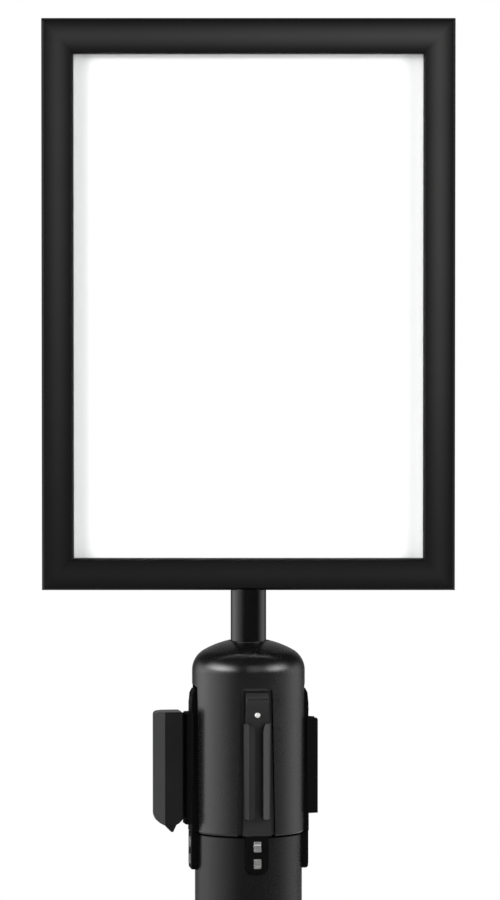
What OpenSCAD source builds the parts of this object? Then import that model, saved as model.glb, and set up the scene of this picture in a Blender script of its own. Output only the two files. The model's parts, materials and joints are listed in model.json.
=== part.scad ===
// Free-standing sign frame on a retractable-belt barrier post.
// Millimetres, +Z up, origin on the floor at the centre of the base.

/* [Sign frame] */
// Width of the frame over its outer edges
frame_w = 232; // [200:1:260]
// Height of the frame over its outer edges
frame_h = 321; // [280:1:360]
// Depth of the rails, front face to back face
rail_depth = 20; // [18:0.5:24]
// Face width of the side and bottom rails
rail_w = 18; // [16:0.5:22]
// Face width of the top rail
top_rail_w = 20; // [18:0.5:24]
// Corner radius along the rail edges
rail_edge_r = 4; // [3:0.1:5]
// Radius of the gentle crown across a rail's face
rail_crown_r = 30; // [26:1:60]
// How far the sheets reach into the rails on each side
sheet_overlap = 7; // [4:0.5:8]

/* [Post] */
// Height of the crown of the cap above the floor
post_h = 1000; // [900:1:1100]
// Outside diameter of the post tube
tube_d = 60.3; // [58:0.1:62]
// Wall thickness of the post tube
tube_wall = 2; // [1.5:0.1:3]
// Outside diameter of the cap that sleeves the tube
cap_d = 63.5; // [63:0.1:66]
// Length of the cap from its lip to its crown
cap_len = 109; // [105:1:115]
// Angle that the sign is turned from the front receiver
head_turn = 8.8; // [0:0.1:30]
// Diameter of the stem that carries the sign
stem_d = 20; // [18:0.5:22]
// Clear height between the crown of the cap and the sign frame
stem_gap = 27.5; // [20:0.5:60]

/* [Belt] */
// Width of the belt webbing
belt_w = 48; // [40:1:50]
// Thickness of the belt webbing
belt_t = 0.6; // [0.5:0.1:0.8]
// Outer diameter of the wound belt
roll_d = 43.2; // [38:0.1:44]
// Outside thickness of the belt end across the belt
belt_end_t = 16; // [14:0.5:18]
// Length of the belt end along the belt
belt_end_l = 16.6; // [14:0.1:20]

/* [Base] */
// Diameter over the rubber ring of the base
base_d = 350; // [320:1:360]
// Thickness of the cast weight
weight_t = 14; // [12:1:18]
// Height of the base cover at the collar
cover_h = 46; // [40:1:50]

/* [Hidden] */
$fn = 96;
tiny = 0.01;

satin_black = [0.05, 0.05, 0.055];
jet = [0.02, 0.02, 0.022];
steel = [0.7, 0.7, 0.72];

// Angles of the four sides of the head, counted from +X
front_a = -90 + head_turn;
right_a = head_turn;
back_a = 90 + head_turn;
belt_a = 180 + head_turn;

tube_r = tube_d / 2;
tube_in_r = tube_r - tube_wall;
cap_r = cap_d / 2;
cap_wall = 1.5;
lip_z = post_h - cap_len;
// Round shoulder and crown of the cap
shoulder_r = 13;
shoulder_z = post_h - 18;
crown_r = 50.66;
crown_z = post_h - crown_r;
shoulder_x = cap_r - shoulder_r;
shoulder_a = asin(shoulder_x / (crown_r - shoulder_r));
shoulder_top_a = 90 - shoulder_a;

// Ribs in the four openings of the cap, narrow at the top and wide at the lip
rib_in_r = 26.6;
rib_out_r = 33.2;
rib_top_half = 6.35;
rib_low_half = 8;
rib_gap = 2.6;
rib_z = lip_z + 0.4;
rib_top_z = lip_z + 80.8;
// Feet of the cassette in the slots of the tube below the lip
foot_w = 12.7;
foot_z = lip_z - 21.3;
foot_round_r = 4.5;
rib_lug_in_r = 19;
rib_lug_t = 4;

// Socket blocks on the ribs
block_z = lip_z + 10.1;
block_top_z = lip_z + 63.8;
block_out_r = 39.1;
block_base_half = 7.7;
block_face_half = 5.7;
pocket_w = 8.7;
pocket_depth = 3;
neck_w = 4.6;
stop_t = 3;
pin_z = lip_z + 68.5;
pin_d = 3;
pin_stand = 1.2;

// Height levels of the belt cassette
belt_z = lip_z + 13;
belt_top_z = belt_z + belt_w;
plate_r = 26.4;
plate_t = 4;
base_plate_z = lip_z + 5;
top_plate_z = lip_z + 65;
lug_z = base_plate_z - rib_lug_t;
top_lug_z = top_plate_z + plate_t + 0.02;
flange_t = 1.2;
flange_r = 22.8;
flange_z = belt_z - 2.4;
flange_top_z = belt_top_z + 1.2;
core_r = 9;
core_in_r = 7.9;
axle_r = 3;
run_gap = 0.06;
roll_r = roll_d / 2;
pillar_r = 24.5;
pillar_d = 3;
pillar_screw_d = 1.6;
guide_r = 25.4;
guide_d = 2;

// Line of the belt: it leaves the roll at run_a, bends round a guide pin and goes out of the mouth
run_r = roll_r + 0.4 + belt_t / 2;
wrap_r = guide_d / 2 + 0.05 + belt_t / 2;
run_a = acos((run_r + wrap_r) / norm([guide_r, wrap_r])) + atan(wrap_r / guide_r);

mouth_out_r = 37;
belt_end_in_r = mouth_out_r + 0.5;
belt_end_out_r = belt_end_in_r + belt_end_l;
belt_end_z = lip_z + 4.2;
belt_end_top_z = lip_z + 68.4;
key_head_w = 8;
key_neck_w = 4;
key_in_r = rib_out_r + 0.4;
key_z = belt_z + 2;
key_top_z = belt_top_z + 1;
latch_w = 7;
latch_r = belt_end_in_r + 3.4;

// Swivel joint of the sign
stem_r = stem_d / 2;
stem_bore_r = 7;
socket_r = 14;
socket_neck_r = 12;
socket_z = lip_z + 79;
socket_floor_t = 4;
socket_flange_z = rib_top_z + 1.2;
stem_z = socket_z + socket_floor_t + 0.1;
swivel_screw_r = 4;

frame_z = post_h + stem_gap;
frame_top_z = frame_z + frame_h;
half_w = frame_w / 2;
half_depth = rail_depth / 2;
groove_half = 2.95;
sheet_half_w = half_w - rail_w + sheet_overlap;
groove_half_w = sheet_half_w + 0.5;
sheet_z = frame_z + rail_w - sheet_overlap;
sheet_top_z = frame_top_z - top_rail_w + sheet_overlap;
cavity_in = 2;
cavity_w = 6.4;
cavity_half = 7;
key_leg = 32;

weight_r = 165;
weight_z = 4;
hub_r = 40;
hub_h = 10;
tube_z = weight_z + weight_t + hub_h;
ring_r = base_d / 2;
ring_in_r = 150;
cover_t = 1.2;
cover_rim_r = ring_r - 1.6;
cover_round_r = 6;
cover_shoulder_x = cover_rim_r - cover_round_r;
cover_edge_z = weight_z + weight_t + 3.4;
cover_slope = 0.055;
flare_r = 96;
neck_r = 36;
bolt_r = 6;
plug_t = 20;
counterbore_z = 14;

// ---------- shapes used more than once ----------

// A round solid or ring standing on z
module tube_at(r, z, top, hole = 0) {
    translate([0, 0, z]) difference() {
        cylinder(r = r, h = top - z);
        if (hole > 0) translate([0, 0, -1]) cylinder(r = hole, h = top - z + 2);
    }
}

// Extrudes a profile drawn in radius and height across a width, centred on the radius
module across(w) {
    rotate([90, 0, 0]) linear_extrude(w, center = true) children();
}

// Rectangle with round corners, from its left edge inward, centred through its depth
module round_rect(w, d, r) {
    translate([r, -d / 2]) square([w - 2 * r, d]);
    translate([0, -d / 2 + r]) square([w, d - 2 * r]);
    for (x = [r, w - r], y = [-d / 2 + r, d / 2 - r]) translate([x, y]) circle(r = r, $fn = 48);
}

// Outside of a rail, cut across: its width from the outer edge inward, with crowned front and back
module rail_outside(w) {
    intersection() {
        round_rect(w, rail_depth, rail_edge_r);
        translate([w / 2, rail_crown_r - rail_depth / 2]) circle(r = rail_crown_r, $fn = 180);
        translate([w / 2, rail_depth / 2 - rail_crown_r]) circle(r = rail_crown_r, $fn = 180);
    }
}

// Hollow rail, cut across
module rail_outline(w) {
    difference() {
        rail_outside(w);
        translate([cavity_in, -cavity_half]) square([cavity_w, 2 * cavity_half]);
    }
}

// ---------- base ----------

module base_weight() {
    color([0.16, 0.16, 0.17]) difference() {
        union() {
            tube_at(weight_r, weight_z, weight_z + weight_t);
            tube_at(hub_r, weight_z, tube_z);
        }
        tube_at(bolt_r + 0.5, 0, tube_z + 1);
        tube_at(20, 0, counterbore_z);
    }
}

// Height of the cover's outside at a radius: a long gentle slope, then a flare up to the post
function cover_z(r) = cover_edge_z + (cover_shoulder_x - r) * cover_slope
    + (cover_h - cover_edge_z - (cover_shoulder_x - neck_r) * cover_slope)
    * pow(max(0, (flare_r - r) / (flare_r - neck_r)), 2.2);

module cover_profile(inset) {
    skirt_x = cover_rim_r - inset;
    polygon(concat(
        [[tube_r + 0.3, 5 - inset], [skirt_x, 5 - inset]],
        [for (a = [0:15:75]) [cover_shoulder_x - inset + cover_round_r * cos(a),
            cover_edge_z - cover_round_r - inset + cover_round_r * sin(a)]],
        [for (r = [cover_shoulder_x - 2:-8:flare_r + 4]) [r, cover_z(r) - inset]],
        [for (r = [flare_r:-4:neck_r]) [r, cover_z(r) - inset]],
        [[tube_r + 0.3, cover_z(neck_r) - inset]]));
}

module base_cover() {
    color(satin_black) rotate_extrude($fn = 180) difference() {
        cover_profile(0);
        cover_profile(cover_t);
        square([2 * (ring_r - 25), 4.5]);
    }
}

module base_ring() {
    color(jet) rotate_extrude($fn = 180) difference() {
        union() {
            translate([ring_in_r, 0]) square([ring_r - ring_in_r - 2, 3.8]);
            translate([ring_r - 8, 1.5]) square([8, 4.5]);
            translate([ring_r - 2, 1.5]) circle(r = 1.5, $fn = 32);
            translate([ring_r - 8, 6]) square([7, 1]);
        }
        translate([cover_rim_r - cover_t - 0.05, 3.7]) square([cover_t + 0.1, 6]);
        translate([ring_r - 8 - tiny, 3.8]) square([weight_r + 0.6 - ring_r + 8, 6]);
    }
}

module tie_bolt() {
    color(steel) {
        tube_at(bolt_r, counterbore_z - 2.5 - tiny, tube_z + plug_t - 2);
        translate([0, 0, counterbore_z - 2.5 - 7.5]) cylinder(r = 11, h = 7.5, $fn = 6);
    }
}

module tie_washer() {
    color(steel) tube_at(14, counterbore_z - 2.5, counterbore_z, bolt_r + 0.1);
}

module tube_plug() {
    color(steel) tube_at(tube_in_r, tube_z, tube_z + plug_t, bolt_r + 0.05);
}

module post_collar() {
    color(jet) rotate_extrude() difference() {
        union() {
            translate([tube_r, cover_z(neck_r)]) square([5, 3]);
            translate([tube_r, cover_z(neck_r) + 3]) square([2.5, 2.5]);
            translate([tube_r + 2.5, cover_z(neck_r) + 3]) circle(r = 2.5, $fn = 48);
        }
        square([tube_r, 100]);
    }
}

// ---------- post and cap ----------

// Four openings cut radially through the tube or the cap, drawn from the outside
module four_slots() {
    for (a = [front_a, right_a, back_a, belt_a]) rotate([0, 0, a])
        translate([rib_in_r - 4, 0, 0]) rotate([90, 0, 90]) linear_extrude(14) children();
}

// Wide upper opening round a rib, a gap wider than the rib on every side
module rib_opening(z, top, corner = 0) {
    polygon([[-rib_low_half - rib_gap, z], [rib_low_half + rib_gap, z],
        [rib_top_half + rib_gap, top - corner], [rib_top_half + rib_gap - corner, top],
        [-rib_top_half - rib_gap + corner, top], [-rib_top_half - rib_gap, top - corner]]);
}

// Upright slot with a round foot, from a little below the foot of the cassette
module foot_slot() {
    low = foot_z - 0.3;
    half = foot_w / 2 + 0.15;
    translate([-half, low + foot_round_r]) square([2 * half, lip_z + 1 - low - foot_round_r]);
    translate([foot_round_r - half, low]) square([2 * (half - foot_round_r), 10]);
    for (side = [-1, 1]) translate([side * (half - foot_round_r), low + foot_round_r])
        circle(r = foot_round_r, $fn = 48);
}

module post_tube() {
    color(satin_black) difference() {
        tube_at(tube_r, tube_z, socket_flange_z, tube_in_r);
        four_slots() foot_slot();
        four_slots() rib_opening(lip_z + 0.2, socket_flange_z + 1);
    }
}

// Outside or inside of the cap in radius and height; grow is negative on the inside
module cap_profile(grow, z) {
    polygon(concat(
        [[0, z], [cap_r + grow - 0.5, z], [cap_r + grow, z + 0.9]],
        [for (a = [0:5:shoulder_top_a])
            [shoulder_x + (shoulder_r + grow) * cos(a), shoulder_z + (shoulder_r + grow) * sin(a)]],
        [for (a = [shoulder_a:-shoulder_a / 9:-tiny])
            [(crown_r + grow) * sin(a), crown_z + (crown_r + grow) * cos(a)]]));
}

module head_cap() {
    color(satin_black) difference() {
        rotate_extrude($fn = 144) difference() {
            cap_profile(0, lip_z);
            cap_profile(-cap_wall, lip_z - 1);
            square([socket_neck_r + 0.05, post_h + 10]);
        }
        four_slots() rib_opening(lip_z - 1, rib_top_z + rib_gap, 1.5);
    }
}

module sign_socket() {
    neck_top = crown_z + sqrt(pow(crown_r, 2) - pow(socket_neck_r, 2));
    color(jet) difference() {
        union() {
            tube_at(socket_r, socket_z, neck_top - cap_wall - 1);
            tube_at(socket_neck_r, socket_z, neck_top);
            tube_at(tube_r - 0.2, socket_flange_z, socket_flange_z + 3);
        }
        tube_at(stem_r + run_gap, stem_z - 0.1, post_h + 1);
        tube_at(swivel_screw_r + run_gap, socket_z - 1, stem_z);
    }
}

// Upright shape of a rib or its flange from the outside, wider by grow on either side
module rib_front(grow, top) {
    polygon([[-rib_low_half - grow, rib_z], [rib_low_half + grow, rib_z],
        [rib_top_half + grow, top], [-rib_top_half - grow, top]]);
}

// A rib in its opening, with a thin flange behind it that closes the gap round it, and a fine
// groove below its bevelled top
module rib() {
    difference() {
        union() {
            intersection() {
                across(30) polygon([[rib_in_r, rib_z], [rib_out_r, rib_z], [rib_out_r, rib_top_z - 8],
                    [rib_out_r - 0.5, rib_top_z - 2.6], [rib_out_r - 1.8, rib_top_z], [rib_in_r, rib_top_z]]);
                rotate([90, 0, 90]) linear_extrude(60) rib_front(0, rib_top_z);
            }
            translate([rib_in_r, 0, 0]) rotate([90, 0, 90]) linear_extrude(1)
                rib_front(rib_gap - 0.15, rib_top_z + 1.1);
            translate([rib_lug_in_r, -4, top_lug_z]) cube([rib_in_r - rib_lug_in_r + 0.5, 8, rib_lug_t]);
        }
        translate([rib_lug_in_r + 3, 0, top_lug_z - 1]) cylinder(r = 1.1, h = rib_lug_t + 2);
        translate([rib_out_r - 0.9, 0.8 - rib_top_half, rib_top_z - 4])
            cube([2, 2 * rib_top_half - 1, 1]);
    }
}

// The four feet of the cassette, which stand out of the tube below the lip of the cap
module cassette_feet() {
    color(jet) for (a = [front_a, right_a, back_a, belt_a]) rotate([0, 0, a]) difference() {
        union() {
            intersection() {
                across(foot_w) polygon([[rib_in_r - 0.4, foot_z], [rib_out_r - 0.8, foot_z],
                    [rib_out_r, foot_z + 1.2], [rib_out_r, lip_z + 0.1], [rib_in_r - 0.4, lip_z + 0.1]]);
                rotate([90, 0, 90]) linear_extrude(60) foot_outline();
            }
            translate([rib_in_r - 2.4, -5, foot_z + 6]) cube([2.2, 10, base_plate_z - 0.02 - foot_z - 6]);
            translate([rib_lug_in_r, -4, lug_z]) cube([rib_in_r - rib_lug_in_r - 2, 8, rib_lug_t - 0.02]);
        }
        translate([rib_lug_in_r + 3, 0, lug_z - 1]) cylinder(r = 1.1, h = rib_lug_t + 2);
        for (c = catches) translate([rib_out_r - 1.2, -catch_w / 2, c[0]]) cube([3, catch_w, c[1]]);
    }
}

// Outline of a foot from the front, rounded at its lower corners
module foot_outline() {
    half = foot_w / 2;
    translate([-half, foot_z + foot_round_r]) square([foot_w, 120]);
    translate([foot_round_r - half, foot_z]) square([foot_w - 2 * foot_round_r, 20]);
    for (side = [-1, 1]) translate([side * (half - foot_round_r), foot_z + foot_round_r])
        circle(r = foot_round_r, $fn = 48);
}

catch_w = 4.2;
// Lower edge and height of the two catches on each foot
catches = [[lip_z - 8.6, 5.9], [lip_z - 18, 5.4]];

// A socket block: seen from above its sides draw in, and its face falls away on either side
module block_body(z, top, out_r, drop_left, drop_right) {
    inner = neck_w / 2 + 0.3;
    intersection() {
        across(30) polygon([[rib_out_r - 1, z], [out_r - 0.5, z], [out_r, z + 0.5], [out_r, top - 1.5],
            [out_r - 1, top], [rib_out_r - 1, top]]);
        translate([0, 0, z - 1]) linear_extrude(top - z + 4)
            polygon([[rib_out_r - 1, -block_base_half], [out_r - drop_left, -block_face_half],
                [out_r, -inner], [out_r, inner], [out_r - drop_right, block_face_half],
                [rib_out_r - 1, block_base_half]]);
    }
}

module receiver() {
    floor_z = block_z + stop_t;
    flare_half = pocket_w / 2 - 0.5;
    difference() {
        union() {
            rib();
            block_body(block_z, block_top_z, block_out_r, 0.4, 2.9);
        }
        translate([rib_out_r, -pocket_w / 2, floor_z]) cube([pocket_depth, pocket_w, 60]);
        translate([rib_out_r, -neck_w / 2, block_z - 1]) cube([10, neck_w, 66]);
        rotate([90, 0, 90]) translate([0, 0, rib_out_r]) linear_extrude(10)
            polygon([[-neck_w / 2, block_top_z - 4], [neck_w / 2, block_top_z - 4],
                [flare_half, block_top_z + 0.5], [flare_half, block_top_z + 3],
                [-flare_half, block_top_z + 3], [-flare_half, block_top_z + 0.5]]);
        translate([rib_out_r - 4.4, 0, pin_z]) rotate([0, 90, 0]) cylinder(r = pin_d / 2 + run_gap, h = 9);
    }
}

module receiver_front() {
    color(jet) rotate([0, 0, front_a]) receiver();
}

module receiver_right() {
    color(jet) rotate([0, 0, right_a]) receiver();
}

module receiver_back() {
    color(jet) rotate([0, 0, back_a]) receiver();
}

module belt_mouth() {
    color(jet) rotate([0, 0, belt_a]) difference() {
        union() {
            rib();
            block_body(lip_z + 4.6, lip_z + 67.6, mouth_out_r, 0.6, 0.6);
        }
        translate([rib_out_r, -key_head_w / 2 - 0.6, key_z - 1])
            cube([10, key_head_w + 1.2, key_top_z - key_z + 2]);
        translate([rib_in_r - 1, -2.8, belt_z - 0.8]) cube([12, 5.6, belt_w + 1.6]);
    }
}

// Round pin that springs back out of the rib and keeps a belt end in its socket
module lock_pin() {
    edge = 0.3;
    color(steel) rotate([0, 90, 0]) translate([-pin_z, 0, rib_out_r]) {
        translate([0, 0, -3]) cylinder(r = pin_d / 2, h = 3 + pin_stand - edge);
        translate([0, 0, pin_stand - edge]) cylinder(r1 = pin_d / 2, r2 = pin_d / 2 - edge, h = edge);
    }
}

module lock_pin_front() {
    rotate([0, 0, front_a]) lock_pin();
}

module lock_pin_right() {
    rotate([0, 0, right_a]) lock_pin();
}

module lock_pin_back() {
    rotate([0, 0, back_a]) lock_pin();
}

module tab_catches() {
    color(steel) for (a = [front_a, right_a, back_a, belt_a], c = catches) rotate([0, 0, a])
        difference() {
            translate([rib_out_r - 1.2, -catch_w / 2, c[0]]) cube([1.5, catch_w, c[1]]);
            if (c[1] > 5.5) translate([rib_out_r + 0.1, -catch_w, c[0] + 3.6]) rotate([0, 12, 0])
                cube([2, 2 * catch_w, 0.7]);
        }
}

// ---------- belt cassette ----------

module at_pillars() {
    for (a = [45:90:315]) rotate([0, 0, head_turn + a]) translate([pillar_r, 0, 0]) children();
}

module at_lugs() {
    for (a = [0:90:270]) rotate([0, 0, head_turn + a]) translate([rib_lug_in_r + 3, 0, 0]) children();
}

module cassette_plate(z) {
    difference() {
        tube_at(plate_r, z, z + plate_t, axle_r + 0.02);
        at_pillars() tube_at(pillar_screw_d / 2 + 0.1, z - 1, z + plate_t + 1);
        at_lugs() tube_at(1.1, z - 1, z + plate_t + 1);
    }
}

module cassette_base() {
    color(jet) cassette_plate(base_plate_z);
}

module cassette_top() {
    color(jet) cassette_plate(top_plate_z);
}

module cassette_pillars() {
    color(steel) at_pillars()
        tube_at(pillar_d / 2, base_plate_z + plate_t, top_plate_z, pillar_screw_d / 2 + 0.05);
}

module cassette_screws() {
    color(steel) at_pillars() {
        tube_at(pillar_screw_d / 2, base_plate_z - tiny, base_plate_z + plate_t + 6);
        tube_at(1.4, base_plate_z - 1.2, base_plate_z);
        tube_at(pillar_screw_d / 2, top_plate_z - 6, top_plate_z + plate_t + tiny);
        tube_at(1.4, top_plate_z + plate_t, top_plate_z + plate_t + 1.2);
    }
}

module rib_screws() {
    color(steel) at_lugs() {
        tube_at(1, lug_z - tiny, base_plate_z + plate_t);
        tube_at(2, lug_z - 1.6, lug_z);
        tube_at(1, top_plate_z, top_lug_z + rib_lug_t + tiny);
        tube_at(2, top_lug_z + rib_lug_t, top_lug_z + rib_lug_t + 1.4);
    }
}

module spool_axle() {
    color(steel) union() {
        tube_at(axle_r, base_plate_z - 1.5, top_plate_z + plate_t + 1.5);
        tube_at(axle_r + 2, base_plate_z - 3, base_plate_z);
    }
}

// Flat clockwork spring, wound as a spiral band
module power_spring() {
    turns = 5;
    inner = 3.5;
    pitch = 0.8;
    band = 0.35;
    step = 15;
    steps = turns * 360 / step;
    color([0.35, 0.37, 0.42]) translate([0, 0, belt_z + 4]) linear_extrude(belt_w - 8) polygon(concat(
        [for (i = [0:steps]) let (a = i * step, r = inner + pitch * a / 360) [r * cos(a), r * sin(a)]],
        [for (i = [steps:-1:0]) let (a = i * step, r = inner + band + pitch * a / 360)
            [r * cos(a), r * sin(a)]]));
}

module guide_pins() {
    color(steel) rotate([0, 0, belt_a]) for (y = [-1, 1])
        translate([guide_r, y * wrap_r, 0])
            tube_at(guide_d / 2, base_plate_z + plate_t + 0.1, top_plate_z - 0.1);
}

module belt_run() {
    half = belt_t / 2;
    finish = rib_out_r - 3.6;
    leave = [cos(run_a), -sin(run_a)];
    color([0.07, 0.07, 0.08]) rotate([0, 0, belt_a]) translate([0, 0, belt_z]) linear_extrude(belt_w)
        polygon(concat(
            [(run_r - half) * leave],
            [for (a = [180 - run_a:-10:90]) [guide_r, -wrap_r] + (wrap_r + half) * [cos(a), sin(a)]],
            [[guide_r, half], [finish, half], [finish, -half], [guide_r, -half]],
            [for (a = [90:10:180 - run_a]) [guide_r, -wrap_r] + (wrap_r - half) * [cos(a), sin(a)]],
            [(run_r + half) * leave]));
}

module spool_core() {
    color([0.25, 0.25, 0.27]) difference() {
        union() {
            tube_at(core_r, flange_z, flange_top_z + flange_t);
            tube_at(flange_r, flange_z, flange_z + flange_t);
            tube_at(flange_r, flange_top_z, flange_top_z + flange_t);
        }
        tube_at(axle_r + run_gap, flange_z - 1, flange_top_z + flange_t + 1);
        tube_at(core_in_r, belt_z + 2, belt_top_z - 2);
    }
}

module belt_roll() {
    color([0.07, 0.07, 0.08]) tube_at(roll_r, belt_z, belt_top_z, core_r + 0.02);
}

// ---------- belt end ----------

// Plan of the belt end: flat tip between two wide chamfers
module belt_end_plan() {
    half = belt_end_t / 2;
    cut = 5.5;
    polygon([[belt_end_in_r, -half + 1.2], [belt_end_in_r + 1.2, -half], [belt_end_out_r - cut, -half],
        [belt_end_out_r, -half + cut], [belt_end_out_r, half - cut], [belt_end_out_r - cut, half],
        [belt_end_in_r + 1.2, half], [belt_end_in_r, half - 1.2]]);
}

// Side view of the belt end: soft upper corners and larger rounded lower ones
module belt_end_side() {
    low_r = 7.5;
    high_r = 2;
    union() {
        translate([belt_end_in_r, belt_end_z + low_r])
            square([belt_end_l, belt_end_top_z - belt_end_z - low_r - high_r]);
        translate([belt_end_in_r + low_r, belt_end_z]) square([belt_end_l - 2 * low_r, low_r + 1]);
        for (x = [belt_end_in_r + low_r, belt_end_out_r - low_r])
            translate([x, belt_end_z + low_r]) circle(r = low_r, $fn = 48);
        translate([belt_end_in_r + high_r, belt_end_top_z - high_r - 1])
            square([belt_end_l - 2 * high_r, high_r + 1]);
        for (x = [belt_end_in_r + high_r, belt_end_out_r - high_r])
            translate([x, belt_end_top_z - high_r]) circle(r = high_r, $fn = 48);
    }
}

module belt_end_shell() {
    color(satin_black) rotate([0, 0, belt_a]) difference() {
        intersection() {
            translate([0, 0, belt_end_z]) linear_extrude(belt_end_top_z - belt_end_z) belt_end_plan();
            across(belt_end_t + 2) belt_end_side();
        }
        translate([belt_end_in_r - 1, -key_neck_w / 2 - 0.1, key_z - 0.1])
            cube([9, key_neck_w + 0.2, key_top_z - key_z + 0.2]);
        translate([latch_r, -latch_w / 2 - 0.1, belt_end_z - 1]) cube([8.2, latch_w + 0.2, 9]);
        for (z = screw_heights) translate([belt_end_in_r + 5, 0, z]) rotate([90, 0, 0])
            cylinder(r = 1.6, h = belt_end_t);
        for (z = screw_heights) translate([belt_end_in_r + 5, 1.2 - belt_end_t / 2, z]) rotate([90, 0, 0])
            cylinder(r = 2.6, h = belt_end_t);
    }
}

screw_heights = [belt_z + 7, belt_top_z - 7];

// T-shaped key that clamps the belt and hooks in the sockets of other posts
module belt_end_key() {
    color(jet) rotate([0, 0, belt_a]) difference() {
        union() {
            translate([key_in_r, -key_head_w / 2, key_z]) cube([2.2, key_head_w, key_top_z - key_z]);
            translate([key_in_r, -key_neck_w / 2, key_z])
                cube([belt_end_in_r + 8 - key_in_r, key_neck_w, key_top_z - key_z]);
        }
        translate([key_in_r - 1, -belt_t / 2 - 0.05, key_z - 1])
            cube([belt_end_in_r + 6 - key_in_r, belt_t + 0.1, key_top_z - key_z + 2]);
        for (z = screw_heights) translate([belt_end_in_r + 5, 0, z]) rotate([-90, 0, 0])
            cylinder(r = 1.3, h = 30, center = true);
    }
}

module belt_end_screws() {
    color(steel) rotate([0, 0, belt_a]) for (z = screw_heights)
        translate([belt_end_in_r + 5, 0, z]) rotate([90, 0, 0]) difference() {
            union() {
                translate([0, 0, belt_t / 2 + 0.1]) cylinder(r = 1.25, h = belt_end_t / 2 - 1);
                translate([0, 0, belt_end_t / 2 - 1.2]) cylinder(r = 2.5, h = 1.1);
            }
            for (turn = [0, 90]) rotate([0, 0, turn]) translate([-1.6, -0.25, belt_end_t / 2 - 0.7])
                cube([3.2, 0.5, 2]);
        }
}

module belt() {
    color([0.07, 0.07, 0.08]) rotate([0, 0, belt_a])
        translate([rib_out_r - 3.2, -belt_t / 2, belt_z + 2.05])
            cube([belt_end_in_r - rib_out_r + 3.2, belt_t, belt_w - 2.1]);
}

// Sliding finger tab in the foot of the belt end
module latch_tab() {
    tab_r = latch_r + 0.2;
    low = belt_end_z - 4;
    color(satin_black) rotate([0, 0, belt_a]) across(latch_w) polygon([[tab_r, belt_end_z + 4.2],
        [tab_r, belt_end_z + 0.6], [tab_r + 2.2, low], [tab_r + 3.2, low],
        [tab_r + 7.6, belt_end_z + 0.6], [tab_r + 7.6, belt_end_z + 4.2]]);
}

// ---------- sign frame ----------

// Corner points of a mitred rail, seen from the front
inner_left = -half_w + rail_w;
inner_low = frame_z + rail_w;
inner_high = frame_top_z - top_rail_w;

module mitre_left() {
    polygon([[-half_w - 1, frame_z - 1], [-half_w - 1, frame_top_z + 1], [-half_w, frame_top_z],
        [inner_left, inner_high], [inner_left + 0.5, inner_high], [inner_left + 0.5, inner_low],
        [inner_left, inner_low], [-half_w, frame_z]]);
}

module mitre_low() {
    polygon([[-half_w, frame_z], [inner_left, inner_low], [-inner_left, inner_low], [half_w, frame_z]]);
}

module mitre_high() {
    polygon([[-half_w, frame_top_z], [inner_left, inner_high], [-inner_left, inner_high],
        [half_w, frame_top_z]]);
}

// Everything that the groove, the top slot, the keys and their screws take out of the rails
module frame_spaces() {
    translate([-groove_half_w, -groove_half, sheet_z - 0.3])
        cube([2 * groove_half_w, 2 * groove_half, frame_top_z - sheet_z + 2]);
    corner_key_shapes(0.1, 2);
    at_key_screws() cylinder(r = 1.3, h = half_depth);
    at_key_screws() translate([0, 0, half_depth - 1.2]) cylinder(r = 2.6, h = 3);
    translate([0, 0, frame_z - 1]) cylinder(r = stem_bore_r - 0.9, h = 9);
}

module rail_left() {
    color(satin_black) side_rail();
}

module rail_right() {
    color(satin_black) mirror([1, 0, 0]) side_rail();
}

module side_rail() {
    difference() {
        intersection() {
            translate([-half_w, 0, frame_z]) linear_extrude(frame_h) rail_outline(rail_w);
            across(rail_depth + 2) mitre_left();
        }
        frame_spaces();
    }
}

// Lays an outline along the frame; up is 1 for an outline that rises from z and -1 for one that hangs
module lay_level(z, up) {
    translate([-half_w, 0, z]) rotate([0, 90, 0]) linear_extrude(frame_w)
        rotate([0, 0, up > 0 ? 180 : 0]) children();
}

module rail_bottom() {
    color(satin_black) difference() {
        intersection() {
            lay_level(frame_z, 1) rail_outline(rail_w);
            across(rail_depth + 2) mitre_low();
        }
        frame_spaces();
    }
}

module rail_top() {
    color(satin_black) difference() {
        intersection() {
            lay_level(frame_top_z, -1) rail_outline(top_rail_w);
            across(rail_depth + 2) mitre_high();
        }
        frame_spaces();
    }
}

// L-shaped brackets that join the rails at the four corners
module corner_key_shapes(grow, extra) {
    t = cavity_w - 1 + 2 * grow;
    off = cavity_in + 0.5 - grow;
    for (sx = [-1, 1]) for (low = [true, false]) {
        z = low ? frame_z + off : frame_top_z - off - t;
        leg_z = low ? frame_z + off : frame_top_z - off - key_leg - extra;
        for (y = [-cavity_half, groove_half + 0.6]) {
            depth = cavity_half - groove_half - 0.6;
            translate([sx > 0 ? half_w - off - t : -half_w + off, y - grow, leg_z])
                cube([t, depth + 2 * grow, key_leg + extra]);
            translate([sx > 0 ? half_w - off - key_leg - extra : -half_w + off, y - grow, z])
                cube([key_leg + extra, depth + 2 * grow, t]);
        }
    }
}

module corner_keys() {
    color(steel) difference() {
        corner_key_shapes(0, 0);
        at_key_screws() cylinder(r = 1.3, h = 8);
    }
}

// Two screws at each corner, driven from the back of the frame
module at_key_screws() {
    inset = cavity_in + 3.1;
    along = 26;
    for (sx = [-1, 1], low = [0, 1]) {
        z_edge = low == 1 ? frame_z : frame_top_z;
        sz = low == 1 ? 1 : -1;
        translate([sx * (half_w - inset), 3.9, z_edge + sz * along]) rotate([-90, 0, 0])
            translate([0, 0, -3.9]) key_screw_lift() children();
        translate([sx * (half_w - along), 3.9, z_edge + sz * inset]) rotate([-90, 0, 0])
            translate([0, 0, -3.9]) key_screw_lift() children();
    }
}

// Screws start behind the groove, so that they reach only the back bracket
module key_screw_lift() {
    intersection() {
        children();
        translate([-5, -5, groove_half + 0.7]) cube([10, 10, 10]);
    }
}

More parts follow.
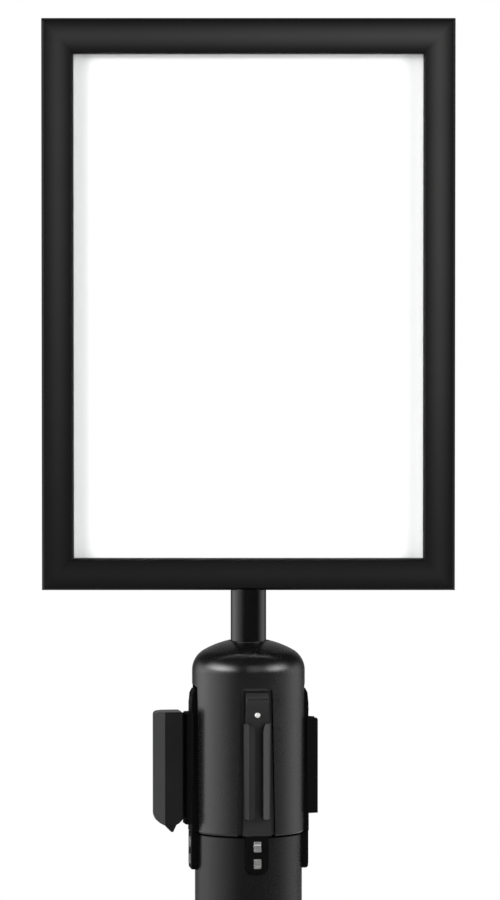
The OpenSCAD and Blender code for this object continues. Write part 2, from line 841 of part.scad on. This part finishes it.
module key_screws() {
    color(steel) at_key_screws() difference() {
        union() {
            cylinder(r = 1.25, h = half_depth - 1);
            translate([0, 0, half_depth - 1.2]) cylinder(r = 2.5, h = 1.1);
        }
        for (turn = [0, 90]) rotate([0, 0, turn]) translate([-1.6, -0.3, half_depth - 0.7])
            cube([3.2, 0.6, 2]);
    }
}

// Round tube with its top shaped to the underside of the frame, and a spigot into the rail
module stem() {
    color(satin_black) {
        difference() {
            tube_at(stem_r, stem_z, frame_z + 0.6, stem_bore_r);
            lay_level(frame_z - tiny, 1) rail_outside(rail_w);
        }
        tube_at(stem_bore_r - 1, frame_z - 12, frame_z + 8);
        tube_at(stem_bore_r + 0.5, frame_z - 12, frame_z - 3);
    }
}

module stem_plug() {
    color(steel) tube_at(stem_bore_r - 0.02, stem_z + 0.5, stem_z + 18, swivel_screw_r + 0.02);
}

module swivel_screw() {
    head_z = socket_z - 2 - 4.6;
    color(steel) union() {
        tube_at(swivel_screw_r, head_z + 4, stem_z + 14);
        difference() {
            tube_at(6.5, head_z, head_z + 4.5);
            translate([0, 0, head_z - 1]) cylinder(r = 3, h = 3.2, $fn = 6);
        }
    }
}

module swivel_washer() {
    color(steel) tube_at(8.5, socket_z - 2.05, socket_z - 0.1, swivel_screw_r + 0.05);
}

// ---------- sign face ----------

module pane(t, y) {
    translate([-sheet_half_w, y, sheet_z]) cube([2 * sheet_half_w, t, sheet_top_z - sheet_z]);
}

module lens_front() {
    color([0.8, 0.85, 0.9, 0.4]) pane(1.2, -2.75);
}

module lens_back() {
    color([0.8, 0.85, 0.9, 0.4]) pane(1.2, 1.55);
}

module sheet_front() {
    color([0.96, 0.96, 0.96]) pane(0.3, -1.5);
}

module sheet_back() {
    color([0.96, 0.96, 0.96]) pane(0.3, 1.2);
}

module stiffener() {
    color([0.9, 0.9, 0.9]) pane(2.4, -1.2);
}

base_weight();
base_cover();
base_ring();
tie_bolt();
tie_washer();
tube_plug();
post_collar();
post_tube();
head_cap();
sign_socket();
receiver_front();
receiver_right();
receiver_back();
belt_mouth();
cassette_feet();
tab_catches();
cassette_base();
cassette_top();
cassette_pillars();
cassette_screws();
rib_screws();
spool_axle();
power_spring();
guide_pins();
belt_run();
spool_core();
belt_roll();
belt();
belt_end_shell();
belt_end_key();
belt_end_screws();
latch_tab();
lock_pin_front();
lock_pin_right();
lock_pin_back();
rail_left();
rail_right();
rail_top();
rail_bottom();
corner_keys();
key_screws();
stem();
stem_plug();
swivel_screw();
swivel_washer();
lens_front();
lens_back();
sheet_front();
sheet_back();
stiffener();
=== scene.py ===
# %% [markdown]
# # A sign frame on a belt barrier post
#
# This is a satin black post with a weighted base, a belt head with sockets on its sides, and a sheet holder
# that turns on a short stem. The hard parts come from the engineering model, already in place and in metres,
# so the work here is what they are made of, how light falls on them, and the woven belt, which is soft.

# %% Load the engineering model
import json
from math import atan2, cos, pi, radians, sin

import bmesh
import bpy
from mathutils import Matrix, Vector


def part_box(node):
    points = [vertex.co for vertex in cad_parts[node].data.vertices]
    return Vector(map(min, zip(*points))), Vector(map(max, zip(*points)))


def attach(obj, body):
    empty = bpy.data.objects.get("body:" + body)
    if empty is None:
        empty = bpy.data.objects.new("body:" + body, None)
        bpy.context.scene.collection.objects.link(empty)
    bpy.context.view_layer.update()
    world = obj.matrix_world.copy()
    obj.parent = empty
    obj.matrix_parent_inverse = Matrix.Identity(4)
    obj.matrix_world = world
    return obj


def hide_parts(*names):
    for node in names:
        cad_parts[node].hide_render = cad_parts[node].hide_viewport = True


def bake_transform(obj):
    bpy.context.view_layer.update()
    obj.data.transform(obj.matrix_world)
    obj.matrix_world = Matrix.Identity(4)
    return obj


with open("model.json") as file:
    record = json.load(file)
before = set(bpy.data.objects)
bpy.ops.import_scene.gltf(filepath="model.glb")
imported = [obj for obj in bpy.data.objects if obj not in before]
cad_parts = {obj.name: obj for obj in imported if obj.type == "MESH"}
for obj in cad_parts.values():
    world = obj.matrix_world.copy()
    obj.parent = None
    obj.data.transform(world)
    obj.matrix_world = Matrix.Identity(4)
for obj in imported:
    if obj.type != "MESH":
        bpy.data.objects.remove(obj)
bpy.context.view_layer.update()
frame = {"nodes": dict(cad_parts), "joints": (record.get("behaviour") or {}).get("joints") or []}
nodes = frame["nodes"]

# %% [markdown]
# The sizes that later steps need are read from the model, so that nothing has to be fitted by eye. The sign
# faces -Y. The head of the post is turned a little from it, and the belt's direction says by how much.

# %% Read the places that the rest hangs on
sign_low, _ = map(Vector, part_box("rail_bottom"))
_, sign_high = map(Vector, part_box("rail_top"))
cap_low, _ = map(Vector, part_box("head_cap"))
belt_joint = next(j for j in frame["joints"] if j["name"] == "belt_pull")
belt_way = Vector(belt_joint["axis"]).normalized()
belt_angle = atan2(belt_way.y, belt_way.x)
print("sign from", round(sign_low.z, 4), "to", round(sign_high.z, 4), "belt way", tuple(belt_way))

# %% [markdown]
# ## Camera
#
# The lens is long and the camera stands well back and a little higher than the sign, looking slightly down.
# A long lens keeps the sides of the frame parallel, as in a catalogue picture. Only the sign, the head and
# the top of the tube are in view.

# %% Place the camera
LENS = 400
SENSOR = 36
DISTANCE = 5.62
LOOK_DOWN = radians(4.1)
FAR = 100
target = Vector((0.0009, 0, 1.106))
camera = bpy.data.objects.new("camera", bpy.data.cameras.new("camera"))
camera.data.lens = LENS
camera.data.sensor_width = SENSOR
camera.data.clip_end = FAR
camera.location = target + DISTANCE * Vector((0, -cos(LOOK_DOWN), sin(LOOK_DOWN)))
camera.rotation_euler = (pi / 2 - LOOK_DOWN, 0, 0)
bpy.context.scene.view_settings.view_transform = "Standard"
bpy.context.scene.collection.objects.link(camera)
bpy.context.scene.camera = camera
print("camera at", [round(c, 3) for c in camera.location])

# %% [markdown]
# ## A small language for shader nodes
#
# Light and finishes are both worked out by Blender's shader nodes. Wiring nodes one at a time hides the sum
# that they do, so `Wire` wraps one output and lets Python's own `+ - *` add the Math nodes. `Tree` adds any
# other node from its type, its settings and its inputs, and `Finish` is a tree that ends in one material.

# %% The three helper classes
class Wire:
    """One output of a node. Arithmetic on it adds Math nodes to the same tree."""

    def __init__(self, tree, socket):
        self.tree = tree
        self.socket = socket

    def _math(self, operation, *values):
        return self.tree.add("ShaderNodeMath", {"operation": operation}, dict(enumerate(values)))

    def __add__(self, other):
        return self._math("ADD", self, other)

    def __radd__(self, other):
        return self._math("ADD", other, self)

    def __sub__(self, other):
        return self._math("SUBTRACT", self, other)

    def __rsub__(self, other):
        return self._math("SUBTRACT", other, self)

    def __mul__(self, other):
        return self._math("MULTIPLY", self, other)

    def __rmul__(self, other):
        return self._math("MULTIPLY", other, self)

    def __abs__(self):
        return self._math("ABSOLUTE", self)

    def sine(self):
        return self._math("SINE", self)

    def ramp(self, low, high):
        """0 at low, 1 at high and a smooth step between. low may be the larger of the two."""
        if low < high:
            ends = {1: low, 2: high, 3: 0.0, 4: 1.0}
        else:
            ends = {1: high, 2: low, 3: 1.0, 4: 0.0}
        return self.tree.add("ShaderNodeMapRange", {"interpolation_type": "SMOOTHSTEP"}, {0: self, **ends})

    def hill(self, start, top, end):
        """0 at start, 1 at top, 0 again at end."""
        return self.ramp(start, top) * self.ramp(end, top)


class Tree:
    """A shader node tree that starts empty."""

    def __init__(self, owner):
        owner.use_nodes = True
        self.nodes = owner.node_tree.nodes
        self.links = owner.node_tree.links
        self.nodes.clear()

    def add(self, kind, settings=None, inputs=None, output=0):
        """Adds a node, sets its settings first and then its inputs, and gives one output as a Wire."""
        node = self.nodes.new(kind)
        for key, value in (settings or {}).items():
            setattr(node, key, value)
        for key, value in (inputs or {}).items():
            self.join(value, node.inputs[key])
        return Wire(self, node.outputs[output]) if output is not None else node

    def join(self, value, socket):
        if isinstance(value, Wire):
            self.links.new(value.socket, socket)
        else:
            socket.default_value = value

    def axes(self, coordinates="Object"):
        """The three numbers of a texture coordinate as three Wires."""
        where = self.add("ShaderNodeTexCoord", output=coordinates)
        return [self.add("ShaderNodeSeparateXYZ", None, {0: where}, axis) for axis in range(3)]


class Finish(Tree):
    """One material, built around a Principled shader."""

    def __init__(self, name):
        self.material = bpy.data.materials.new(name)
        super().__init__(self.material)
        self.surface = self.nodes.new("ShaderNodeBsdfPrincipled")
        self.out = self.nodes.new("ShaderNodeOutputMaterial")
        self.links.new(self.surface.outputs[0], self.out.inputs["Surface"])

    def vector(self, x, y, z):
        return self.add("ShaderNodeCombineXYZ", None, {0: x, 1: y, 2: z})

    def noise(self, per_metre, detail=2.0, rough=0.5, where=None):
        """Cloudy noise from 0 to 1, with about this many lumps to a metre of the model."""
        where = where or self.add("ShaderNodeTexCoord", output="Object")
        inputs = {"Vector": where, "Scale": per_metre, "Detail": detail, "Roughness": rough}
        return self.add("ShaderNodeTexNoise", None, inputs, "Fac")

    def blend(self, amount, low, high):
        """Colour that goes from low to high as amount goes from 0 to 1."""
        return self.add("ShaderNodeMix", {"data_type": "RGBA"}, {0: amount, 6: low, 7: high}, 2)

    def bump(self, height, depth):
        return self.add("ShaderNodeBump", None, {"Height": height, "Distance": depth})

    def darken(self, amount):
        """Lays matt black over the surface, for the deep shade in a gap."""
        black = self.add("ShaderNodeBsdfDiffuse", None, {"Color": (0.001, 0.001, 0.001, 1)})
        paint = Wire(self, self.surface.outputs[0])
        mixed = self.add("ShaderNodeMixShader", None, {0: amount, 1: paint, 2: black})
        self.join(mixed, self.out.inputs["Surface"])

    def set(self, **values):
        """Sets the shader's sockets: base_color=..., roughness=... and so on."""
        for key, value in values.items():
            self.join(value, self.surface.inputs[key.replace("_", " ").title().replace("Ior", "IOR")])
        return self.material


def grey(value, warm=0.0):
    """A near-neutral colour; warm above 0 leans to red, below to blue."""
    return (value * (1 + warm), value, value * (1 - warm), 1)


# %% [markdown]
# ## Floor and light
#
# Satin black shows almost nothing but what it reflects, so a whole studio is drawn on the world round the
# post. At the height of the eye it has a wide soft panel on the left, which fades slowly towards the front,
# and a weaker one on the right. Higher up are two brighter panels, which glint on the cap's shoulder. The
# front stays dim, and so does the middle of the round post.
#
# Directions count from the front, to the right as the camera sees it, and up from the horizon, in degrees.
# The camera itself sees plain white instead. Three lamps add what the world can't: a soft glint in front, and
# light on the paper of both faces that leaves no reflection on the black.

# %% Lay the floor
FLOOR_R = 6.5
bpy.ops.mesh.primitive_circle_add(vertices=128, radius=FLOOR_R, fill_type="NGON")
floor = bpy.context.object
floor.name = "floor"
print("floor is", 2 * FLOOR_R, "m across")

# %% Draw the studio round the post
DEGREES = 180 / pi
WHITE = (1, 1, 1, 1)
DIMMEST = 0.03
world = bpy.data.worlds.new("studio")
bpy.context.scene.world = world
studio = Tree(world)
east, north, up = studio.axes("Generated")
side = studio.add("ShaderNodeMath", {"operation": "ARCTAN2"}, {0: east, 1: north * -1}) * DEGREES
lift = studio.add("ShaderNodeMath", {"operation": "ARCSINE"}, {0: up}) * DEGREES

low_panels = side.hill(-150, -98, -22) * 2.7 + side.hill(58, 102, 150) * 1.6
high_panels = side.hill(-112, -58, -18) * 16.5 + side.hill(26, 62, 100) * 12
behind = abs(side).ramp(140, 180) * 0.3
brightness = low_panels * lift.ramp(24, 4) + high_panels * lift.hill(8, 16, 42) + behind + DIMMEST

seen = studio.add("ShaderNodeBackground", None, {"Color": WHITE, "Strength": 1.0})
lit = studio.add("ShaderNodeBackground", None, {"Color": WHITE, "Strength": brightness})
camera_ray = studio.add("ShaderNodeLightPath", output="Is Camera Ray")
either = studio.add("ShaderNodeMixShader", None, {0: camera_ray, 1: lit, 2: seen})
studio.add("ShaderNodeOutputWorld", None, {"Surface": either}, None)


# %% Hang the soft boxes
AIM = Vector((0, 0, 1.1))


def soft_box(name, azimuth, distance, height, width, tall, brightness, glossy=True):
    """A soft box that faces the post. One that is not glossy lights the paper and leaves no reflection."""
    data = bpy.data.lights.new(name, "AREA")
    data.shape = "RECTANGLE"
    data.size = width
    data.size_y = tall
    data.energy = brightness * pi * width * tall
    box = bpy.data.objects.new(name, data)
    angle = radians(azimuth)
    box.location = (distance * sin(angle), -distance * cos(angle), height)
    box.rotation_euler = (AIM - box.location).to_track_quat("-Z", "Y").to_euler()
    box.visible_camera = False
    box.visible_glossy = glossy
    bpy.context.scene.collection.objects.link(box)
    print(name, "gives", round(data.energy, 1), "W")


soft_box("front_panel", 14, 2.0, 1.85, 1.1, 1.1, 1.6)
soft_box("front_fill", 4, 3.0, 1.5, 2.0, 1.6, 2.6, glossy=False)
soft_box("back_fill", 176, 3.0, 1.7, 2.0, 1.6, 7.0, glossy=False)

# %% [markdown]
# ## Satin black powder coat
#
# The post, stem and frame are powder coated: black plastic powder baked on metal. Seen close it is not flat.
# It has a fine orange peel of lumps about a millimetre wide, its gloss drifts a little from place to place,
# and handling leaves faint paler rubs. One real coat would be the same on cap, tube and stem. Here each has its
# own tone and gloss, chosen until it looked right in this light. The dark line on the tube under the cap's lip
# is painted on as well, for the deep shade in that gap.

# %% Powder coat on the post
DARK_FADE = 0.0008


def powder_coat(name, tone, rough, peel, gloss, dark_above=None):
    coat = Finish(name)
    drift = coat.noise(9, 3)
    rubs = coat.noise(26, 5, 0.65).ramp(0.58, 0.78)
    fine = coat.noise(1500, 2)
    lumps = coat.noise(650, 1)
    if dark_above is not None:
        coat.darken(coat.axes()[2].ramp(dark_above, dark_above + DARK_FADE))
    return coat.set(
        base_color=coat.blend(rubs * 0.5 + drift * 0.5, grey(tone, 0.02), grey(tone * 1.7, 0.03)),
        roughness=rough + (drift - 0.5) * 0.1 + rubs * 0.05 + (fine - 0.5) * 0.06,
        normal=coat.bump(lumps + fine * 0.3, peel),
        specular_ior_level=gloss,
    )


post_paint = powder_coat("post_powder_coat", 0.0025, 0.26, 0.00002, 0.46)
tube_paint = powder_coat("tube_powder_coat", 0.001, 0.28, 0.00002, 0.3, dark_above=cap_low.z - 0.0017)
stem_paint = powder_coat("stem_powder_coat", 0.002, 0.14, 0.00001, 0.36)

# %% [markdown]
# The frame's coat is duller than the post's. Each rail has a soft pale band along its crown, stronger higher up
# and on the right, and black edges. On a real frame that is most likely light on the curved face. The studio
# drawn here doesn't give it at this strength, so it is painted into the colour. The cost is that the band stays
# the same when the sign turns or the light changes.

# %% Powder coat on the frame
RAIL_MIDDLE = 0.009
TOP_MIDDLE = 0.01
SIDE_MIDDLE = sign_high.x - RAIL_MIDDLE
EDGE = 0.0088
TOP_EDGE = 0.0098


def frame_coat(name, level):
    coat = Finish(name)
    x, _, z = coat.axes()
    if level:
        low, high = sign_low.z + RAIL_MIDDLE, sign_high.z - TOP_MIDDLE
        crown = z.hill(low - EDGE, low, low + EDGE) + z.hill(high - TOP_EDGE, high, high + TOP_EDGE)
    else:
        crown = abs(x).hill(SIDE_MIDDLE - EDGE, SIDE_MIDDLE, SIDE_MIDDLE + EDGE)
    strength = (z.ramp(1.0, 1.28) * 0.5 + 0.14) * (x.ramp(-0.12, 0.13) * 0.55 + 1)
    drift = coat.noise(14, 4, 0.6)
    fine = coat.noise(1500, 2)
    return coat.set(
        base_color=coat.blend(crown * strength * (drift * 0.3 + 0.85), grey(0.0015), grey(0.03, 0.01)),
        roughness=0.42 + (drift - 0.5) * 0.12 + (fine - 0.5) * 0.08,
        normal=coat.bump(coat.noise(650, 1) + fine * 0.3, 0.00003),
        specular_ior_level=0.12,
    )


side_paint = frame_coat("side_rail_powder_coat", False)
level_paint = frame_coat("level_rail_powder_coat", True)

# %% [markdown]
# ## Moulded black plastic
#
# The ribs, sockets and belt mouth are moulded nylon, blacker than the paint. A mould's spark-eroded face
# leaves a fine even grain, so the bump is small and regular, and the gloss is lower than the paint's. The belt
# mouth sits in shade and looks black from the front, so it takes a blacker, almost glossless copy of the
# nylon: that is painted shade. The right rib is the same piece as the front one, but it takes the mouth's
# blacker finish because it also sits in shade and looks black from the front: painted shade again. The feet
# and the key are plain black nylon and take the same finish.

# %% Moulded plastics
def moulded(name, tone, rough, grain, gloss=0.5):
    plastic = Finish(name)
    grain_map = plastic.noise(2600, 1)
    flow = plastic.noise(40, 3)
    return plastic.set(
        base_color=plastic.blend(flow, grey(tone), grey(tone * 1.5, -0.03)),
        roughness=rough + (flow - 0.5) * 0.12,
        normal=plastic.bump(grain_map, grain),
        specular_ior_level=gloss,
    )


rib_plastic = moulded("rib_nylon", 0.004, 0.38, 0.000012)
# Blacker, almost glossless copy of the nylon: painted shade on the belt mouth and the right rib, plain black on
# the feet and the key
black_and_shade_plastic = moulded("black_and_shade_nylon", 0.001, 0.6, 0.00002, gloss=0.05)
inner_plastic = moulded("inner_nylon", 0.015, 0.55, 0.00002)
spool_plastic = moulded("spool_nylon", 0.06, 0.5, 0.00002)
belt_end_plastic = moulded("belt_end_plastic", 0.003, 0.3, 0.000015, gloss=0.32)
rubber = moulded("ring_rubber", 0.012, 0.75, 0.00004)


# %% [markdown]
# ## Metals
#
# Zinc plate is dull and faintly clouded. Nickel catches and pins are bright, with fine lines where they
# were rubbed. The cast weight is rough all over, with a thin coat of dark paint.

# %% Metals
def metal(name, tone, rough, cloud, lines):
    plate = Finish(name)
    x, y, z = plate.axes()
    clouds = plate.noise(cloud, 3)
    brushed = plate.noise(lines, 2, 0.6, plate.vector(x * 0.15, y * 0.15, z * 4))
    return plate.set(
        base_color=plate.blend(clouds, grey(tone * 0.85, 0.01), grey(tone, 0.02)),
        roughness=rough + (brushed - 0.5) * 0.15 + (clouds - 0.5) * 0.08,
        metallic=1.0,
        normal=plate.bump(brushed, 0.000006),
    )


zinc = metal("zinc_plate", 0.55, 0.42, 300, 700)
bright = metal("nickel_plate", 0.72, 0.24, 400, 1500)
satin = metal("satin_nickel", 0.9, 0.6, 400, 1500)
spring = metal("blued_spring", 0.25, 0.35, 200, 900)


def cast(name):
    iron = Finish(name)
    pits = iron.noise(500, 4, 0.7)
    return iron.set(
        base_color=iron.blend(pits, grey(0.02), grey(0.05, 0.04)),
        roughness=0.7 + (pits - 0.5) * 0.2,
        metallic=0.2,
        normal=iron.bump(pits, 0.0004),
    )


cast_iron = cast("painted_cast_iron")

# %% [markdown]
# ## Sheet, board and pane
#
# The sheet is plain white paper. Its two long edges look greyer a few millimetres in from the rail, probably
# from the shade of the pane and the rails' walls. Those two bands are painted into the paper's colour, so they
# go with it when it is drawn out. The pane is clear plastic: mostly seen through, with a thin gloss of its own.

# %% Sheet, board and pane
def paper(name):
    sheet = Finish(name)
    x = sheet.axes()[0]
    fibres = sheet.noise(900, 4, 0.7)
    edge = x.hill(-0.098, -0.0915, -0.085) * 0.24 + x.hill(0.083, 0.0915, 0.099) * 0.3
    return sheet.set(
        base_color=sheet.blend(edge + (fibres - 0.5) * 0.02, grey(0.96), grey(0.3)),
        roughness=0.85,
        normal=sheet.bump(fibres, 0.00001),
    )


white_paper = paper("white_paper")


def board(name):
    foam = Finish(name)
    cells = foam.noise(1200, 2)
    return foam.set(
        base_color=foam.blend(cells, grey(0.8), grey(0.88)),
        roughness=0.7,
        normal=foam.bump(cells, 0.00002),
    )


white_board = board("white_board")


def pane(name):
    clear = Finish(name)
    smears = clear.noise(18, 4, 0.6)
    return clear.set(
        base_color=(0.95, 0.97, 0.98, 1),
        roughness=0.06 + smears * 0.05,
        alpha=0.05 + smears * 0.02,
        normal=clear.bump(clear.noise(60, 1), 0.00001),
    )


clear_pane = pane("clear_pane")

# %% [markdown]
# ## Webbing
#
# The belt is woven black polyester. Its ribs run along its length, about 1.3 mm apart, so they depend only on
# height, and they would stay as they are if the belt were drawn out two metres.

# %% Webbing
RIB_STEP = 0.0013


def webbing(name):
    weave = Finish(name)
    height = weave.axes()[2]
    ribs = abs((height * (pi / RIB_STEP)).sine())
    threads = weave.noise(4000, 2)
    wear = weave.noise(120, 3)
    return weave.set(
        base_color=weave.blend(ribs * 0.6 + threads * 0.4, grey(0.006), grey(0.028, -0.02)),
        roughness=0.72 + (wear - 0.5) * 0.2,
        sheen_weight=0.3,
        sheen_roughness=0.5,
        normal=weave.bump(ribs + threads * 0.4, 0.00012),
    )


belt_webbing = webbing("belt_webbing")

# %% [markdown]
# ## The belt
#
# The webbing that is drawn out is a strip that stands on edge. It leaves the roll, bends round a guide pin and
# runs straight out of the mouth to the belt end. The rest, two metres of it, is wound on the spool in some
# twenty turns.
#
# The radius of the wound roll, the place and size of the guide pin and the height of the webbing are those of
# the engineering model. The webbing is drawn a little thinner than one turn takes, so that turns don't touch.

# %% Make a strip of webbing along a path
THICK = 0.00055
BELT_LOW, BELT_HIGH = (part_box("belt_roll")[side][2] for side in (0, 1))


def ribbon(name, path):
    """A strip on edge along a path of flat points. Gives the object and its length."""
    mesh = bmesh.new()
    rings = []
    for i, point in enumerate(path):
        along = path[min(i + 1, len(path) - 1)] - path[max(i - 1, 0)]
        off = Vector((-along.y, along.x)).normalized() * THICK / 2
        near, far = point + off, point - off
        corners = [(near, BELT_LOW), (near, BELT_HIGH), (far, BELT_HIGH), (far, BELT_LOW)]
        rings.append([mesh.verts.new((flat.x, flat.y, z)) for flat, z in corners])
    for a, b in zip(rings, rings[1:]):
        for k in range(4):
            mesh.faces.new((a[k], a[(k + 1) % 4], b[(k + 1) % 4], b[k]))
    mesh.faces.new(rings[0])
    mesh.faces.new(rings[-1])
    bmesh.ops.recalc_face_normals(mesh, faces=mesh.faces)
    data = bpy.data.meshes.new(name)
    mesh.to_mesh(data)
    mesh.free()
    data.materials.append(belt_webbing)
    strip = bpy.data.objects.new(name, data)
    bpy.context.scene.collection.objects.link(strip)
    length = sum((b - a).length for a, b in zip(path, path[1:]))
    print(name, "is", round(length, 4), "m long")
    return strip, length


# %% The strip from the roll to the belt end
GUIDE = Vector((0.0254, -0.00135))
GUIDE_R = 0.00135
ROLL_R = 0.0223
LEAVE = radians(24.64)
MOUTH = 0.0332
HOLD = 0.0374
STEPS = 40


def turned(point):
    """From the belt's own axes, x along the pull, to the model's."""
    point = Vector(point)
    point.rotate(Matrix.Rotation(belt_angle, 2))
    return point


bend = [GUIDE + GUIDE_R * Vector((cos(radians(a)), sin(radians(a)))) for a in range(155, 89, -13)]
straight = [Vector((MOUTH + (HOLD - MOUTH) * i / STEPS, 0)) for i in range(STEPS + 1)]
route = [Vector((ROLL_R * cos(LEAVE), -ROLL_R * sin(LEAVE))), *bend, *straight]
belt_strip, strip_length = ribbon("belt_strip", [turned(p) for p in route])
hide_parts("belt", "belt_run")
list(turned((MOUTH, 0)))
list(turned((HOLD, 0)))
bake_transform(belt_strip)

# %% The wound webbing
CORE = 0.0094
PITCH = 0.000565
TURNS = 21
PER_TURN = 40
coil = []
for i in range(TURNS * PER_TURN + 1):
    reach = CORE + PITCH * i / PER_TURN
    angle = 2 * pi * i / PER_TURN
    coil.append(Vector((reach * cos(angle), reach * sin(angle))))
wound_belt, wound_length = ribbon("wound_belt", coil)
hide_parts("belt_roll")
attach(wound_belt, "spool")

# %% [markdown]
# ## Floor finish
#
# A pale matt studio floor, with only a little variation so that it reads as a surface.

# %% Floor finish
pale = Finish("studio_floor")
floor.data.materials.append(
    pale.set(base_color=pale.blend(pale.noise(3, 2), grey(0.62), grey(0.66)), roughness=0.75)
)

# %% [markdown]
# ## Dress the engineering parts
#
# Each part gets its finish, and the parts listed in EDGES a narrow bevel. Real edges are never perfectly sharp:
# a radius of a few tenths of a millimetre catches a thin line of light, and that line is what makes a part look
# solid.

# %% Give every part a finish
FINISHES = [
    (side_paint, "rail_left rail_right"),
    (level_paint, "rail_top rail_bottom"),
    (post_paint, "base_cover head_cap"),
    (tube_paint, "post_tube"),
    (stem_paint, "stem"),
    (belt_end_plastic, "belt_end_shell latch_tab"),
    (rib_plastic, "receiver_front receiver_back post_collar"),
    # Painted shade: the belt mouth and the right rib take the blacker copy of the nylon.
    (black_and_shade_plastic, "belt_mouth receiver_right cassette_feet belt_end_key"),
    (inner_plastic, "sign_socket cassette_base cassette_top"),
    (spool_plastic, "spool_core"),
    (cast_iron, "base_weight"),
    (rubber, "base_ring"),
    (zinc, "tie_bolt tie_washer tube_plug corner_keys stem_plug cassette_pillars spool_axle guide_pins "
           "swivel_washer"),
    (bright, "tab_catches cassette_screws rib_screws belt_end_screws key_screws swivel_screw"),
    (satin, "lock_pin_front lock_pin_right lock_pin_back"),
    (spring, "power_spring"),
    (clear_pane, "lens_front lens_back"),
    (white_paper, "sheet_front sheet_back"),
    (white_board, "stiffener"),
]
dressed = set()
for finish, names in FINISHES:
    for part in names.split():
        nodes[part].data.materials.clear()
        nodes[part].data.materials.append(finish)
        dressed.add(part)
print("parts without a finish:", sorted(set(nodes) - dressed - {"belt", "belt_run", "belt_roll"}))


# %% Round the edges
def soften(part, width):
    """Welds the part's faces, bevels its sharp edges and evens out its shading."""
    weld = nodes[part].modifiers.new("weld", "WELD")
    weld.merge_threshold = 1e-6
    bevel = nodes[part].modifiers.new("bevel", "BEVEL")
    bevel.width = width
    bevel.segments = 2
    bevel.limit_method = "ANGLE"
    bevel.angle_limit = radians(28)
    shade = nodes[part].modifiers.new("shade", "WEIGHTED_NORMAL")
    shade.keep_sharp = False


EDGES = {
    0.00012: "rail_left rail_right rail_top rail_bottom",
    0.0004: "belt_end_shell",
    0.0003: "receiver_front receiver_right receiver_back belt_mouth latch_tab",
    0.0002: "head_cap post_tube stem",
    0.0006: "tab_catches",
}
for width, names in EDGES.items():
    for part in names.split():
        soften(part, width)
print("edges rounded by", sorted(EDGES), "m")
